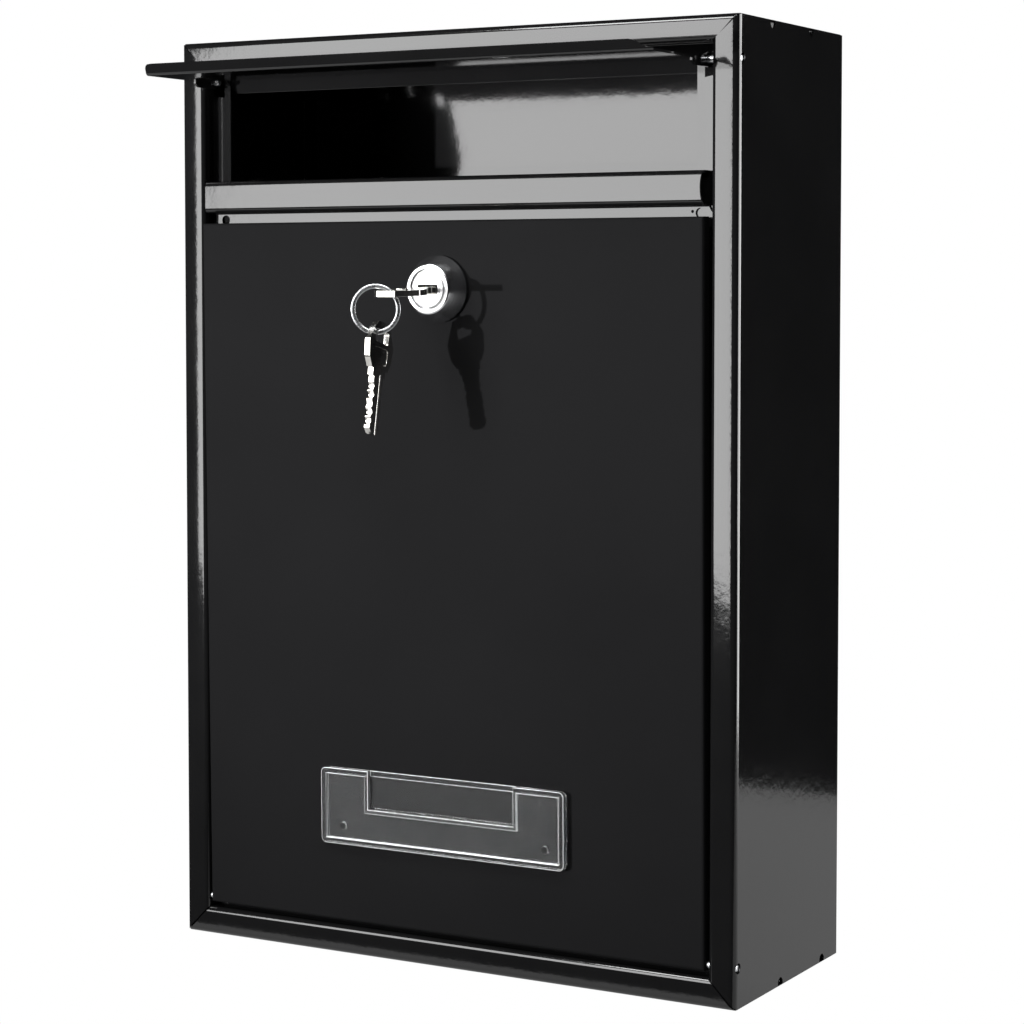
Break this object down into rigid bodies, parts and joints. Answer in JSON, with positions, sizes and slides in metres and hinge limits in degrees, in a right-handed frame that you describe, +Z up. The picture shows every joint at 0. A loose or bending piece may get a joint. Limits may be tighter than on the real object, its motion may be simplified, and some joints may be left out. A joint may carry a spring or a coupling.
{
  "type": "wall mounted mailbox",
  "caption": "Wall-mounted sheet-steel letterbox with a lifting flap over its slot, a bottom-hinged front door with a cam lock, a clear name-plate window and keys on a ring.",
  "frame": {"origin": "centre of the back panel's outer face, on the wall plane", "axes": "+X to the right as seen from the front, +Y out of the back into the wall, +Z up; the front faces -Y"},
  "size_m": [0.218, 0.1259, 0.32],
  "materials": {
    "gloss_paint": "high-gloss black powder coat with light orange peel",
    "satin_paint": "satin black powder coat",
    "chrome": "polished chrome plate",
    "zinc_steel": "bright zinc plate",
    "nickel": "nickel plate, lightly brushed",
    "brass": "stamped brass",
    "clear_plastic": "clear moulded plastic"
  },
  "bodies": {
    "casing": {"left_side_panel": "gloss_paint", "right_side_panel": "gloss_paint", "top_panel": "gloss_paint", "bottom_panel": "gloss_paint", "back_panel": "gloss_paint", "cross_rail": "gloss_paint", "flap_hinge_pin_left": "zinc_steel", "flap_hinge_pin_right": "zinc_steel", "door_hinge_pin_left": "zinc_steel", "door_hinge_pin_right": "zinc_steel"},
    "flap": {"flap_panel": "gloss_paint"},
    "door": {"door_panel": "satin_paint", "nameplate_window": "clear_plastic", "lock_body": "chrome", "lock_washer": "zinc_steel", "lock_nut": "zinc_steel"},
    "lock_core": {"lock_plug": "chrome", "wafer_1": "brass", "wafer_2": "brass", "wafer_3": "brass", "wafer_4": "brass", "cam_lever": "zinc_steel", "cam_washer": "zinc_steel", "cam_screw": "zinc_steel"},
    "key": {"key": "nickel"},
    "key_ring": {"key_ring": "zinc_steel"},
    "spare_key": {"spare_key": "nickel"}
  },
  "joints": [
    {"name": "flap_hinge", "type": "hinge", "parent": "casing", "child": "flap", "pos_m": [0, -0.0818, 0.1459], "axis": [1, 0, 0], "range_deg": [-30, 84]},
    {"name": "door_hinge", "type": "hinge", "parent": "casing", "child": "door", "pos_m": [0, -0.0823, -0.1464], "axis": [1, 0, 0], "range_deg": [-0.75, 95]},
    {"name": "lock_turn", "type": "hinge", "parent": "door", "child": "lock_core", "pos_m": [0, -0.08787, 0.07265], "axis": [0, -0.9999, -0.0131], "range_deg": [0, 90]},
    {"name": "key_slide", "type": "slide", "parent": "lock_core", "child": "key", "axis": [0, -0.9999, -0.0131], "range_m": [-0.0073, 0.0118]},
    {"name": "ring_turn", "type": "hinge", "parent": "key", "child": "key_ring", "pos_m": [-0.00572, -0.1187, 0.06598], "axis": [0.342, -0.9397, 0], "range_deg": [-90, 0]},
    {"name": "spare_swing", "type": "hinge", "parent": "key_ring", "child": "spare_key", "pos_m": [-0.00572, -0.1187, 0.05838], "axis": [0.9925, 0.1219, 0], "range_deg": [-15, 15]}
  ],
  "couplings": [
    {"joint": "ring_turn", "follows": "lock_turn", "ratio": -1}
  ]
}
